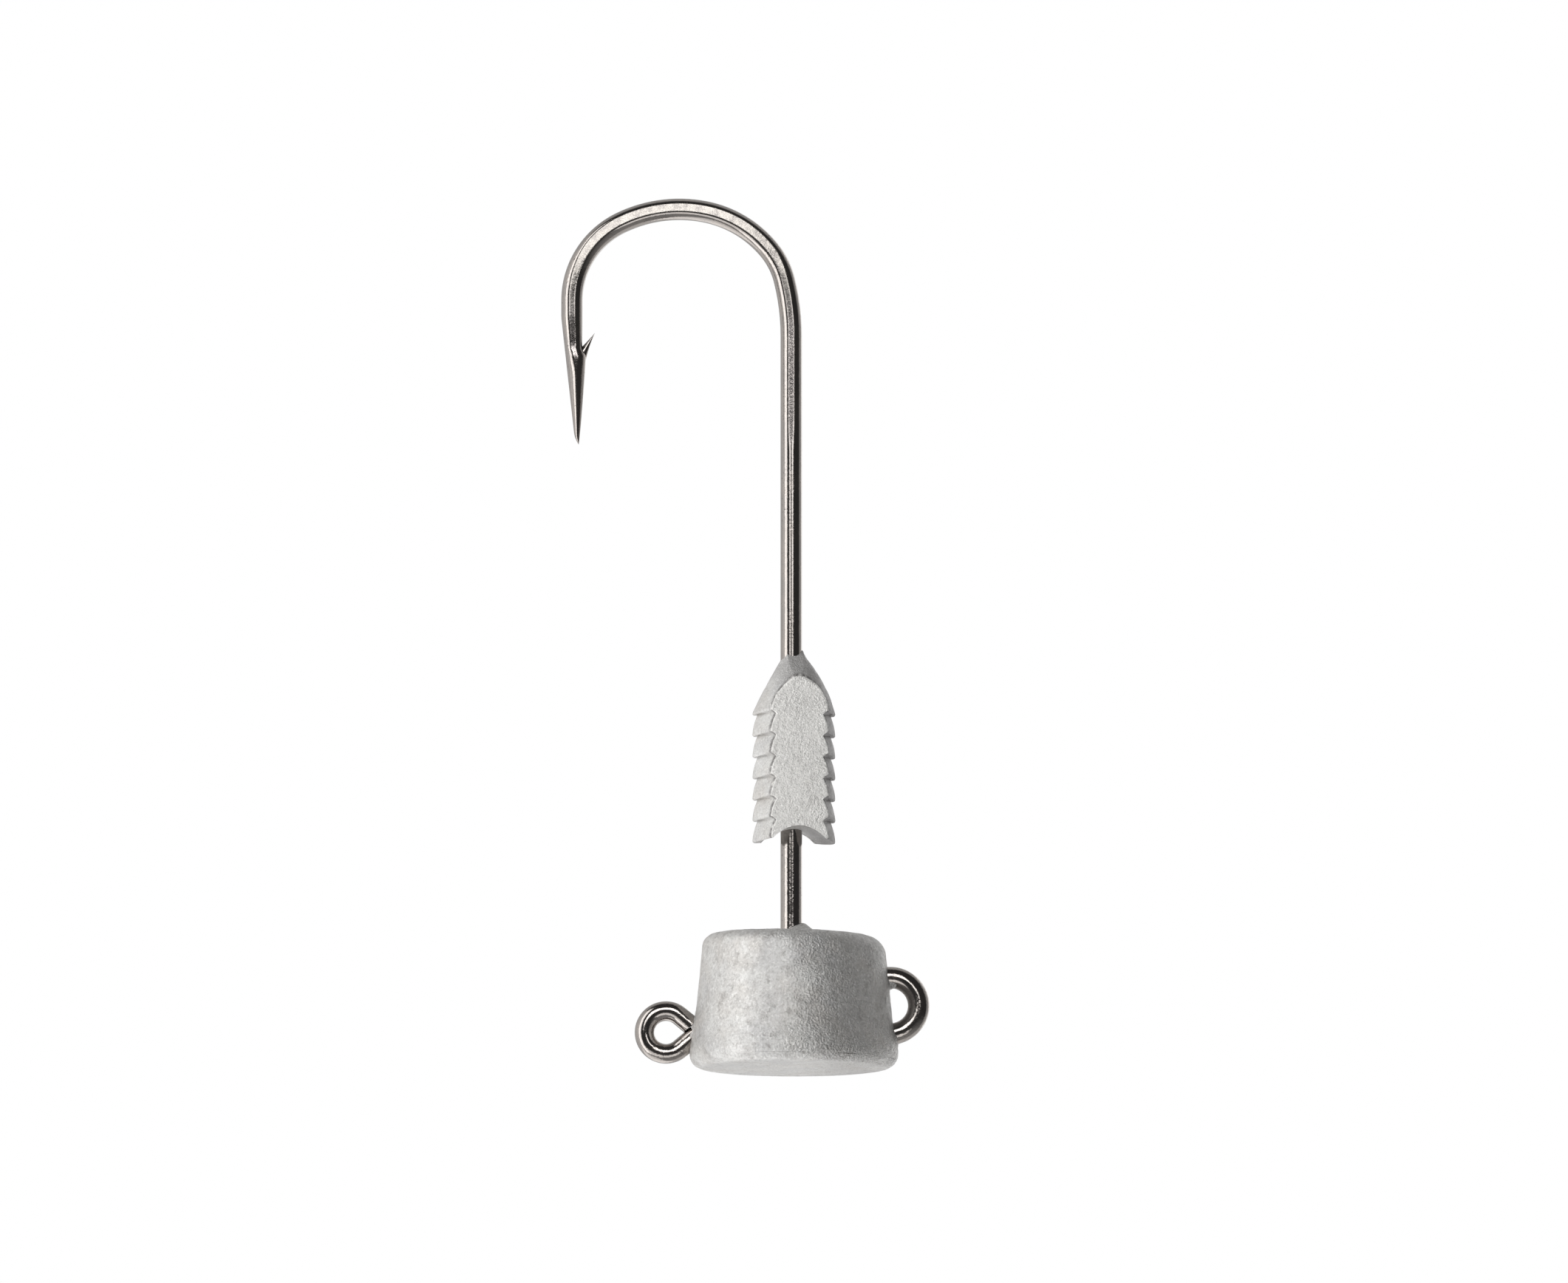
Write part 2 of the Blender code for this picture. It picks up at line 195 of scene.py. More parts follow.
# Painted shade on the head's right side
RIGHT_SHADE_COLOR = (0.33, 0.318, 0.31)
FACE_COLOR = (0.96, 0.945, 0.915)
# Painted shade on the keeper's right flank, and the darker colour towards its nose
FLANK_SHADE_AND_NOSE_COLOR = (0.27, 0.258, 0.255)
# Dark specks and painted shade along the keeper's face edges, over the band the lights brighten
RIM_SPECK_AND_SHADE_COLOR = (0.17, 0.162, 0.158)

# Camera
CAMERA_DISTANCE = 2.826
CAMERA_ELEVATION = -5.8
CAMERA_AIM = Vector((-0.638, 0.0, 27.80)) * MM
CAMERA_LENS = 1000.0

# Floor
FLOOR_REACH = 0.6
FLOOR_FADE = (0.08, 0.5)
FLOOR_DROP = 0.02 * MM
FLOOR_GLOW = 0.45
FLOOR_COLOR = (0.62, 0.62, 0.615, 1.0)

# Lights: name, azimuth, elevation, degrees wide, degrees high, brightness, distance
LIGHTS_AIM = Vector((0, 0, 27 * MM))
LIGHTS = (
    ("left_box", -58, 4, 26, 100, 2.35, 0.5),
    ("left_wide", -80, 4, 34, 90, 0.7, 0.6),
    ("front_left", -13, 8.5, 15, 7, 2.5, 0.5),
    ("front_right", 13.5, 8.5, 14, 7, 2.8, 0.5),
    ("front_top", -5, 22, 34, 20, 4.2, 0.5),
    ("front_low", -8, -40, 60, 22, 1.35, 0.5),
    ("below", -130, -62, 60, 50, 0.9, 0.5),
    ("right_rear", 148, 5, 40, 60, 0.9, 0.5),
)


def mix(a, b, share):
    return a + (b - a) * share


def smooth(low, high, value):
    """0 below low, 1 above high, and an S between them."""
    share = max(0.0, min(1.0, (value - low) / (high - low)))
    return share * share * (3 - 2 * share)


# ---------------------------------------------------------------- materials


class Nodes:
    """A short way to write a node tree."""

    def __init__(self, tree):
        self.tree = tree

    def add(self, kind, **settings):
        node = self.tree.nodes.new(kind)
        for name, value in settings.items():
            setattr(node, name, value)
        return node

    def link(self, output, node, socket):
        self.tree.links.new(output, node.inputs[socket])

    def math(self, operation, first, second):
        node = self.add("ShaderNodeMath", operation=operation)
        for i, value in enumerate((first, second)):
            if isinstance(value, (int, float)):
                node.inputs[i].default_value = value
            else:
                self.tree.links.new(value, node.inputs[i])
        return node.outputs[0]

    def times(self, first, *others):
        """All the values multiplied together."""
        for other in others:
            first = self.math("MULTIPLY", first, other)
        return first

    def axes(self, position):
        """The position's x, y and z."""
        node = self.add("ShaderNodeSeparateXYZ")
        self.link(position, node, "Vector")
        return node.outputs

    def noise(self, position, size, detail=2.0, roughness=0.5, distortion=0.0):
        """Noise whose features are about this size in metres."""
        node = self.add("ShaderNodeTexNoise")
        node.inputs["Scale"].default_value = 1.0 / size
        node.inputs["Detail"].default_value = detail
        node.inputs["Roughness"].default_value = roughness
        node.inputs["Distortion"].default_value = distortion
        self.link(position, node, "Vector")
        return node.outputs["Fac"]

    def cells(self, position, size):
        """Distance from the middle of cells of about this size in metres."""
        node = self.add("ShaderNodeTexVoronoi", feature="F1")
        node.inputs["Scale"].default_value = 1.0 / size
        self.link(position, node, "Vector")
        return node.outputs["Distance"]

    def spread(self, value, low, high, to_low=0.0, to_high=1.0):
        """Maps low..high smoothly to to_low..to_high."""
        node = self.add("ShaderNodeMapRange", interpolation_type="SMOOTHSTEP")
        self.link(value, node, "Value")
        ends = {"From Min": low, "From Max": high, "To Min": to_low, "To Max": to_high}
        for name, number in ends.items():
            node.inputs[name].default_value = number
        return node.outputs["Result"]

    def blend(self, share, first, second):
        """A colour between two, which are sockets or (r, g, b)."""
        node = self.add("ShaderNodeMix", data_type="RGBA")
        for value, i in ((share, 0), (first, 6), (second, 7)):
            socket = node.inputs[i]
            if isinstance(value, tuple):
                socket.default_value = (*value, 1.0)
            else:
                self.tree.links.new(value, socket)
        return node.outputs[2]


def new_material(name):
    material = bpy.data.materials.new(name)
    material.use_nodes = True
    nodes = Nodes(material.node_tree)
    shader = material.node_tree.nodes["Principled BSDF"]
    position = nodes.add("ShaderNodeTexCoord").outputs["Object"]
    return material, nodes, shader, position


def bump(nodes, shader, height, distance):
    node = nodes.add("ShaderNodeBump")
    node.inputs["Strength"].default_value = 1.0
    node.inputs["Distance"].default_value = distance
    nodes.link(height, node, "Height")
    nodes.link(node.outputs["Normal"], shader, "Normal")


def black_nickel(name):
    """Bright black nickel over smooth wire, with fine draw marks. Where it is forged it is pitted
    on the straight runs and polished, with dull streaks, on the bend."""
    material, nodes, shader, position = new_material(name)
    shader.inputs["Metallic"].default_value = 1.0
    forged = nodes.add("ShaderNodeAttribute", attribute_name="forged").outputs["Fac"]
    pits = nodes.noise(position, 0.07 * MM, detail=3.0, roughness=0.6)
    cloud = nodes.noise(position, 1.2 * MM, detail=2.0)
    patch = nodes.spread(nodes.noise(position, 2.4 * MM, detail=2.0), 0.40, 0.60, 0.30, 1.0)
    height = nodes.axes(position)["Z"]
    bend_base = HEAD_HEIGHT + SHANK_LENGTH
    legs = nodes.spread(height, bend_base, bend_base + 4 * MM, 1.0, 0.40)
    low = nodes.spread(height, HEAD_HEIGHT, HEAD_HEIGHT + 2 * MM, 1.9, 1.0)
    specks = nodes.spread(nodes.noise(position, 0.10 * MM, detail=2.0), 0.62, 0.72)
    plate = nodes.blend(nodes.spread(cloud, 0.35, 0.65), *PLATE_COLORS)
    plate = nodes.blend(nodes.times(specks, patch), plate, SPECK_COLOR)
    pitted = nodes.blend(nodes.spread(pits, 0.42, 0.60), *LEG_COLORS)
    streaks = nodes.noise(position, 0.5 * MM, detail=5.0, roughness=0.7)
    polished = nodes.blend(nodes.spread(streaks, 0.36, 0.54), *BEND_COLORS)
    worn = nodes.blend(legs, polished, pitted)
    nodes.link(nodes.blend(forged, plate, worn), shader, "Base Color")
    gloss = nodes.spread(cloud, 0.3, 0.7, 0.09, 0.14)
    nodes.link(nodes.math("ADD", gloss, nodes.times(forged, 0.05)), shader, "Roughness")
    marks = nodes.times(nodes.noise(position, 0.17 * MM, detail=3.0), patch, low, 0.36)
    deep = nodes.times(pits, forged, legs, 0.22)
    bump(nodes, shader, nodes.math("ADD", marks, deep), 0.02 * MM)
    return material


def keeper_shade_and_blots(nodes, base, position, share, face, high):
    """The base colour with painted shade on the right flank, darker towards the nose, and dark
    blots along the faces' edges: partly dark specks, partly painted shade over the edges' lit band.
    """
    # painted shade: the flanks darker towards the right, and darker towards the nose
    right = nodes.spread(nodes.axes(position)["X"], 0.2 * MM, 1.3 * MM, 0.0, 0.75)
    dull = nodes.times(nodes.math("MAXIMUM", high, right), nodes.math("SUBTRACT", 1.0, face))
    base = nodes.blend(dull, base, FLANK_SHADE_AND_NOSE_COLOR)
    # dark blots along the faces' edges: dark specks, and painted shade over the edges' lit band
    blots = nodes.spread(nodes.noise(position, 0.28 * MM, detail=4.0), 0.30, 0.60, 0.25, 1.0)
    rim = nodes.times(nodes.spread(share, 0.15, 0.75), nodes.spread(share, 0.85, 1.0, 1.0, 0.0))
    return nodes.blend(nodes.times(rim, blots), base, RIM_SPECK_AND_SHADE_COLOR)


def head_right_shade(nodes, base, position, clouds):
    """The base colour with painted shade on the right, broken up in clouds, short of the head's
    edge.
    """
    # painted shade: darker from the middle towards the right, lighter again near the edge
    x = nodes.axes(position)["X"]
    begins = nodes.spread(x, 0.5 * MM, 3.5 * MM, 0.0, 0.42)
    ends = nodes.spread(x, 4.8 * MM, 6.3 * MM, 1.0, 0.0)
    cloudy = nodes.spread(clouds, 0.3, 0.6, 0.6, 1.0)
    return nodes.blend(nodes.times(begins, ends, cloudy), base, RIGHT_SHADE_COLOR)


def cast_lead(name, metallic, grain_size, grain_depth, stain, face_color, nose=None):
    """Bare cast lead: pale and dull, clouded and stained, with a frosted skin that is coarser
    towards the right. Its skin's hollows are painted darker, partly dark specks and partly painted
    shade, and its crests carry painted highlights. It takes face_color where its face value is 1.
    A nose is the height where a keeper's nose starts to darken, and lead without one is the
    head's, which gets painted shade on its right."""
    material, nodes, shader, position = new_material(name)
    shader.inputs["Metallic"].default_value = metallic
    clouds = nodes.noise(position, 1.7 * MM, detail=4.0, roughness=0.6)
    tint = nodes.spread(nodes.noise(position, 2.9 * MM, detail=2.0), 0.35, 0.65)
    grey = nodes.blend(tint, *GREY_COLORS)
    base = nodes.blend(nodes.spread(clouds, 0.30, 0.70), grey, PALE_COLOR)
    frost = nodes.spread(nodes.noise(position, 2.2 * MM, detail=2.0), 0.35, 0.60, 0.45, 1.0)
    ragged = nodes.times(nodes.noise(position, 0.35 * MM, detail=4.0), 0.5)
    share = nodes.add("ShaderNodeAttribute", attribute_name="face").outputs["Fac"]
    face = nodes.spread(nodes.math("ADD", share, ragged), 0.80, 1.15)
    # On the head the face value marks a painted highlight on the web at the loop and a paler patch
    # round the eye's neck; on the keeper it marks its flat faces
    base = nodes.blend(face, base, face_color)
    frost = nodes.math("ADD", frost, nodes.times(face, 0.6))
    x, _, z = nodes.axes(position)
    frost = nodes.times(frost, nodes.spread(x, -3.5 * MM, 6.0 * MM, 0.35, 3.4))
    stains = nodes.noise(position, 0.65 * MM, detail=6.0, roughness=0.72)
    base = nodes.blend(nodes.times(nodes.spread(stains, 0.50, 0.68), stain), base, STAIN_COLOR)
    if nose:
        high = nodes.spread(z, nose, nose + 1.2 * MM, 0.0, 0.45)
        frost = nodes.math("ADD", frost, high)
        # painted shade on the keeper's right flank, darker towards its nose, and the edge blots
        base = keeper_shade_and_blots(nodes, base, position, share, face, high)
    else:
        # painted shade on the head's right side
        base = head_right_shade(nodes, base, position, clouds)
    crinkle = nodes.noise(position, grain_size, detail=3.0, roughness=0.65, distortion=0.3)
    # the skin's hollows painted darker, partly dark specks and partly painted shade, and its crests
    # painted brighter as highlights
    base = nodes.blend(nodes.spread(crinkle, 0.34, 0.52, 0.30, 0.0), base, HOLLOW_SPECK_AND_SHADE_COLOR)
    base = nodes.blend(nodes.spread(crinkle, 0.55, 0.70, 0.0, 0.42), base, CREST_HIGHLIGHT_COLOR)
    nodes.link(base, shader, "Base Color")
    rough = nodes.noise(position, 0.45 * MM, detail=3.0)
    nodes.link(nodes.spread(rough, 0.3, 0.7, 0.40, 0.56), shader, "Roughness")
    crystals = nodes.cells(position, grain_size * 0.9)
    skin = nodes.math("ADD", crinkle, nodes.times(crystals, 0.5))
    bump(nodes, shader, nodes.times(skin, frost), grain_depth)
    return material


# ---------------------------------------------------------------- meshes


def mesh_piece(name, verts, faces, material, label, values, sharp=SHARP_ANGLE):
    """A mesh object in the frame, smooth but for its sharp corners, with a labelled value per
    vertex."""
    mesh = bpy.data.meshes.new(name)
    mesh.from_pydata(verts, [], faces)
    attribute = mesh.attributes.new(label, "FLOAT", "POINT")
    attribute.data.foreach_set("value", values)
    mesh.validate()
    mesh.shade_smooth()
    mesh.set_sharp_from_angle(angle=math.radians(sharp))
    mesh.materials.append(material)
    piece = bpy.data.objects.new(name, mesh)
    bpy.context.scene.collection.objects.link(piece)
    return piece


def tube_faces(rows, columns):
    """Faces of a tube of rings, open at its ends."""
    faces = []
    for i in range(rows - 1):
        for j in range(columns):
            k = (j + 1) % columns
            low = i * columns
            high = low + columns
            faces.append((low + j, low + k, high + k, high + j))
    return faces


def closed_tube_faces(rows, columns):
    """Faces of a tube of rings with its ends closed."""
    start = tuple(reversed(range(columns)))
    end = tuple((rows - 1) * columns + j for j in range(columns))
    return [*tube_faces(rows, columns), start, end]


class Route:
    """A line in the XZ plane made of straight runs and arcs. Positive turns are to its left."""

    def __init__(self, x, z, heading):
        self.stations = [(x, z, heading)]

    def end(self):
        return self.stations[-1]

    def straight(self, length):
        x, z, heading = self.end()
        angle = math.radians(heading)
        runs = max(1, math.ceil(length / RUN_STEP))
        for i in range(1, runs + 1):
            reach = length * i / runs
            along, up = reach * math.cos(angle), reach * math.sin(angle)
            self.stations.append((x + along, z + up, heading))

    def arc(self, radius, turn):
        x, z, heading = self.end()
        side = math.copysign(90, turn)
        out = math.radians(heading + side)
        center_x = x + radius * math.cos(out)
        center_z = z + radius * math.sin(out)
        steps = max(1, math.ceil(abs(turn) / ARC_STEP))
        for i in range(1, steps + 1):
            now = heading + turn * i / steps
            back = math.radians(now - side)
            across, up = radius * math.cos(back), radius * math.sin(back)
            self.stations.append((center_x + across, center_z + up, now))


def lengths(stations):
    """How far along the line each station is."""
    reached = [0.0]
    for (x0, z0, _), (x1, z1, _) in zip(stations, stations[1:]):
        reached.append(reached[-1] + math.hypot(x1 - x0, z1 - z0))
    return reached


def swept(stations, section_at):
    """Vertices and forged values of a tube. section_at(i, angle) gives (across, depth, forged)."""
    verts = []
    values = []
    for i, (x, z, heading) in enumerate(stations):
        normal = math.radians(heading + 90)
        for j in range(WIRE_SIDES):
            angle = 2 * math.pi * (j + 0.5) / WIRE_SIDES
            across, depth, forged = section_at(i, angle)
            verts.append((x + across * math.cos(normal), depth, z + across * math.sin(normal)))
            values.append(forged)
    return verts, values


def side_radius(height):
    """The radius of the head's cone at a height, leaving out the swell of its lip."""
    return HEAD_RADIUS - LIP_SWELL - math.tan(math.radians(HEAD_DRAFT)) * (height - LIP_HEIGHT)


# ---------------------------------------------------------------- hook


def eye_stations():
    """From the shank down through the head and round the ring to the wire's cut end."""
    arm = math.radians(EYE_ARM_ANGLE)
    ring_radius = EYE_HOLE / 2 + EYE_WIRE_RADIUS
    arm_length = ring_radius / math.tan(arm)
    shoulder = EYE_SHOULDER * math.tan(arm / 2)
    crossing = EYE_ARMS_SUNK - side_radius(NECK_HEIGHT)
    route = Route(SHANK_X, NECK_HEIGHT + NECK_BEND, -90)
    route.arc(NECK_BEND, -90)
    route.straight(SHANK_X - NECK_BEND - crossing - shoulder)
    route.arc(EYE_SHOULDER, EYE_ARM_ANGLE)
    route.straight(arm_length - shoulder)
    route.arc(ring_radius, -(180 + 2 * EYE_ARM_ANGLE))
    route.straight(arm_length - EYE_WIRE_RADIUS / math.sin(2 * arm))
    x, z, heading = route.stations.pop()
    route.stations.append((x, z, heading + 2 * EYE_ARM_ANGLE - 90))
    return route.stations


def shank_stations():
    """From inside the head up the shank, over the bend and down to the point."""
    trial = Route(0, 0, 90)
    for radius, turn in BEND_SHAPE:
        trial.arc(radius, turn)
    scale = -GAPE / trial.end()[0]
    route = Route(SHANK_X, NECK_HEIGHT + NECK_BEND, 90)
    route.straight(HEAD_HEIGHT + SHANK_LENGTH - route.end()[1])
    for radius, turn in BEND_SHAPE:
        route.arc(radius * scale, turn)
    route.straight(POINT_LENGTH)
    return route.stations


def point_section(to_tip):
    """(inner side, outer side) of the ground and swollen wire at this distance from the tip."""
    if to_tip >= TAPER_LENGTH:
        return WIRE_RADIUS, WIRE_RADIUS
    share = to_tip / TAPER_LENGTH
    outer = WIRE_RADIUS - (WIRE_RADIUS + POINT_INSET / 2) * (1 - share)
    inner = WIRE_RADIUS * mix(0.9, 1.0, share)
    below = min(1.0, to_tip / BARB_FROM_TIP)
    swell = smooth(-0.7 * MM, -0.05 * MM, to_tip - BARB_FROM_TIP)
    swollen = POINT_INSET + (WIRE_RADIUS + SWELL_BELOW_BARB - POINT_INSET) * below**0.8
    inner = mix(swollen, inner, swell)
    if to_tip < WIRE_RADIUS:
        outer -= (outer + POINT_INSET - 0.01 * MM) * (1 - to_tip / WIRE_RADIUS) ** 2
    return inner, outer


def hook_section(to_tip, from_flat, turned, angle):
    """A point of the hook's section. It is round, cut flat at both faces where it is forged, and
    drawn out to a ridge below the barb."""
    inner, outer = point_section(to_tip)
    middle = (inner - outer) / 2
    half = max((inner + outer) / 2, THINNEST_POINT)
    ridge = 1 - smooth(*RIDGE_FADES, to_tip)
    power = mix(2.0, RIDGE_SHARPNESS, ridge)
    across = math.cos(angle)
    depth = math.copysign(max(0.0, 1 - abs(across) ** power) ** (1 / power), math.sin(angle)) * half
    across = middle + across * half
    start = max(0.0, min(1.0, from_flat / FORGE_RUN_OUT))
    end = max(0.0, min(1.0, (to_tip - FORGE_FROM_TIP) / FORGE_RUN_OUT))
    bend = smooth(*FORGE_BEND[:2], turned) * (1 - smooth(*FORGE_BEND[2:], turned))
    amount = min(start, end) ** 0.5
    cut = mix(FORGE_DEPTH_STRAIGHT, FORGE_DEPTH_BEND, bend) * amount
    tilt = math.radians(FORGE_TILT * bend)
    if cut <= 0:
        return across, depth, 0.0
    limit = (min(WIRE_RADIUS, half) - cut + across * math.sin(tilt)) / math.cos(tilt)
    over = (abs(depth) - limit) / FORGE_SOFTNESS
    if over < -12:
        return across, depth, 0.0
    depth = math.copysign(limit - FORGE_SOFTNESS * (math.log1p(math.exp(-over))), depth)
    return across, depth, smooth(0.45, 0.85, 1 / (1 + math.exp(-over)))


def barb_mesh():
    """A horn that the chisel raised from the inner side of the point."""
    tip_x, tip_z, _ = shank_stations()[-1]
    verts = []
    for i in range(BARB_STEPS + 1):
        t = i / BARB_STEPS
        weights = ((1 - t) ** 2, 2 * t * (1 - t), t * t)
        low = [sum(w * p[k] for w, p in zip(weights, BARB_LOWER)) for k in (0, 1)]
        high = [sum(w * p[k] for w, p in zip(weights, BARB_UPPER)) for k in (0, 1)]
        thick = mix(*BARB_HALF_THICKNESS, t**0.8)
        for j in range(BARB_SIDES):
            angle = 2 * math.pi * (j + 0.5) / BARB_SIDES
            share = (1 + math.cos(angle)) / 2
            across = mix(low[0], high[0], share)
            up = mix(low[1], high[1], share)
            verts.append((tip_x + across * MM, thick * math.sin(angle) * MM, tip_z + up * MM))
    return verts, closed_tube_faces(BARB_STEPS + 1, BARB_SIDES)


def make_hook(material):
    """The hook, one piece of wire from the cut end of its eye to its point."""
    eye = [(x, z, heading + 180) for x, z, heading in reversed(eye_stations())][:-1]
    shank = shank_stations()
    stations = eye + shank
    reached = lengths(stations)
    joint = reached[len(eye)]
    thinning = NECK_BEND * math.pi / 2
    flat_start = joint + HEAD_HEIGHT + SHANK_LENGTH - FORGE_DOWN_SHANK - shank[0][1]

    def section_at(i, angle):
        along = reached[i]
        if along < joint:
            radius = mix(WIRE_RADIUS, EYE_WIRE_RADIUS, min(1.0, (joint - along) / thinning))
            return radius * math.cos(angle), radius * math.sin(angle), 0.0
        return hook_section(reached[-1] - along, along - flat_start, stations[i][2] - 90, angle)

    verts, values = swept(stations, section_at)
    faces = closed_tube_faces(len(stations), WIRE_SIDES)
    hook = mesh_piece("hook_wire", verts, faces, material, "forged", values)
    barb_verts, barb_faces = barb_mesh()
    barb_values = [0.0] * len(barb_verts)
    barb = mesh_piece("barb_shape", barb_verts, barb_faces, material, "forged", barb_values)
    join(hook, barb)
    return hook


def join(piece, other):
    """Unite the other object with this one, and remove it."""
    for obj in (piece, other):
        bm = bmesh.new()
        bm.from_mesh(obj.data)
        bmesh.ops.recalc_face_normals(bm, faces=bm.faces)
        bm.to_mesh(obj.data)
        bm.free()
    modifier = piece.modifiers.new("union", "BOOLEAN")
    modifier.operation = "UNION"
    modifier.solver = "EXACT"
    modifier.object = other
    evaluated = piece.evaluated_get(bpy.context.evaluated_depsgraph_get())
    united = bpy.data.meshes.new_from_object(evaluated)
    piece.modifiers.clear()
    piece.data = united
    bpy.data.objects.remove(other, do_unlink=True)
    piece.data.shade_smooth()
    piece.data.set_sharp_from_angle(angle=math.radians(SHARP_ANGLE))


# ---------------------------------------------------------------- belly loop


def make_belly_loop(material):
    """A staple of wire whose legs go into the head's side."""
    start_x = side_radius(LOOP_HEIGHT) - LOOP_SUNK
    route = Route(start_x - LOOP_LEG, LOOP_HEIGHT + LOOP_RADIUS, 0)
    route.straight(LOOP_LEG)
    route.arc(LOOP_RADIUS, LOOP_SPLAY - 180)
    route.straight(LOOP_LEG)

    def section_at(i, angle):
        return LOOP_WIRE_RADIUS * math.cos(angle), LOOP_WIRE_RADIUS * math.sin(angle), 0.0

    verts, values = swept(route.stations, section_at)
    faces = closed_tube_faces(len(route.stations), WIRE_SIDES)
    return mesh_piece("loop_wire", verts, faces, material, "forged", values)


# ---------------------------------------------------------------- head


def head_profile(fillet):
    """(radius, height, degrees the skin faces up) from the top's middle to the base's."""
    shoulder = HEAD_HEIGHT - fillet
    corner = side_radius(shoulder) - fillet
    points = []
    for i in range(TOP_ROWS):
        points.append((corner * (i + 0.5) / TOP_ROWS, HEAD_HEIGHT, 90.0))
    for i in range(EDGE_ROWS + 1):
        angle = mix(90.0, HEAD_DRAFT, i / EDGE_ROWS)
        turn = math.radians(angle)
        points.append((corner + fillet * math.cos(turn), shoulder + fillet * math.sin(turn), angle))
    side_top = shoulder + fillet * math.sin(math.radians(HEAD_DRAFT))
    for i in range(1, SIDE_ROWS + 1):
        height = mix(side_top, LIP_HEIGHT, i / SIDE_ROWS)
        share = max(0.0, (LIP_START - height) / (LIP_START - LIP_HEIGHT))
        points.append((side_radius(height) + LIP_SWELL * share**2, height, HEAD_DRAFT))
    for angle in FOOT_ANGLES:
        turn = math.radians(angle)
        radius = HEAD_RADIUS - LIP_FILLET * (1 - math.cos(turn))
        points.append((radius, LIP_FILLET * (1 + math.sin(turn)), angle))
    for i in range(1, BASE_ROWS):
        points.append(((HEAD_RADIUS - LIP_FILLET) * (1 - i / BASE_ROWS), 0.0, -90.0))
    return points


def collar(point, x_side, y, z, reach, height, width):
    """How far lead stands up round a wire that goes into the head's side at y, z."""
    if point.x * x_side < 0:
        return 0.0
    away = math.hypot(point.y - y, point.z - z) - reach
    ragged = 0.75 + 0.9 * noise.noise(point / (0.35 * MM))
    return height * ragged * math.exp(-max(0.0, away) / width)


def head_relief(point, facing):
    """How far the head's skin stands out at a point: grain, lead drawn up round the wires, the
    mound at the shank's foot, and a crease. Facing is the degrees that the skin faces up."""
    relief = SKIN_SWELL * noise.fractal(point / (0.9 * MM), 0.6, 2.0, 4)
    relief += SKIN_GRAIN * noise.noise(point / (0.22 * MM))
    neck = collar(point, -1, 0.0, NECK_HEIGHT + 0.15 * MM, 0.80 * MM, 0.16 * MM, 0.22 * MM)
    relief += neck * (1 + 1.1 * noise.noise(point / (0.16 * MM)))
    relief += collar(point, 1, WEB_FRONT, WEB_HEIGHT, WEB_REACH, WEB_LENGTH, 0.06 * MM)
    lower_leg = LOOP_HEIGHT - LOOP_RADIUS - 0.15 * MM
    relief += collar(point, 1, 0.0, lower_leg, 0.66 * MM, 0.13 * MM, 0.07 * MM)
    if facing > 60:
        away = math.hypot(point.x - MOUND_X, point.y - MOUND_Y) / MOUND_RADIUS
        uneven = 1 + 0.15 * noise.noise(point / (0.5 * MM))
        relief += MOUND_HEIGHT * math.exp(-(away**2)) * uneven
    crease = abs(facing + CREASE_ANGLE) / CREASE_WIDTH
    if crease < 3:
        broken = smooth(-0.15, 0.25, noise.noise(point / (2.6 * MM)))
        relief -= CREASE_DEPTH * math.exp(-crease * crease) * broken
    return relief


def head_point(angle, left, right):
    """The head's skin at an angle round it, between its left and right profiles' points."""
    share = (1 + math.cos(angle)) / 2
    radius = mix(left[0], right[0], share)
    height = mix(left[1], right[1], share)
    facing = math.radians(left[2])
    spot = Vector((radius * math.cos(angle), radius * math.sin(angle), height))
    relief = head_relief(spot, left[2])
    if height <= 0.05 * MM:
        relief = -abs(0.5 * relief)
    level = math.cos(facing)
    out = Vector((math.cos(angle) * level, math.sin(angle) * level, math.sin(facing)))
    spot += out * relief
    lean = smooth(0.45, 1.0, height / HEAD_HEIGHT)
    spot.z -= HEAD_TOP_SLOPE * spot.x * lean
    return spot


def painted_light_and_pale_share(point):
    """1 on the web at the loop, which takes a painted highlight, less on the rags round the eye's
    neck, which are paler, and 0 elsewhere.
    """
    web = Vector((HEAD_RADIUS, WEB_FRONT, WEB_HEIGHT))
    neck = Vector((-side_radius(NECK_HEIGHT), 0.0, NECK_HEIGHT))
    by_web = 1 - smooth(0.1 * MM, 0.9 * MM, (point - web).length)
    by_neck = 0.7 - 0.7 * smooth(0.9 * MM, 1.35 * MM, (point - neck).length)
    return max(by_web, by_neck)


def make_head(material):
    """The head, turned from its profile: fuller at its left corner, slacker at its right one."""
    left_profile = head_profile(HEAD_TOP_FILLET[0])
    right_profile = head_profile(HEAD_TOP_FILLET[1])
    rows = len(left_profile)
    verts = []
    for left, right in zip(left_profile, right_profile):
        for j in range(HEAD_SIDES):
            verts.append(head_point(2 * math.pi * j / HEAD_SIDES, left, right))
    top = len(verts)
    verts += [Vector((0, 0, HEAD_HEIGHT)), Vector((0, 0, 0.01 * MM))]
    faces = tube_faces(rows, HEAD_SIDES)
    last = (rows - 1) * HEAD_SIDES
    for j in range(HEAD_SIDES):
        k = (j + 1) % HEAD_SIDES
        faces.append((top, k, j))
        faces.append((top + 1, last + j, last + k))
    # painted highlight on the web at the loop, and a paler patch round the eye's neck
    lit_and_pale = [painted_light_and_pale_share(vert) for vert in verts]
    return mesh_piece("head_casting", verts, faces, material, "face", lit_and_pale)


# ---------------------------------------------------------------- bait keeper


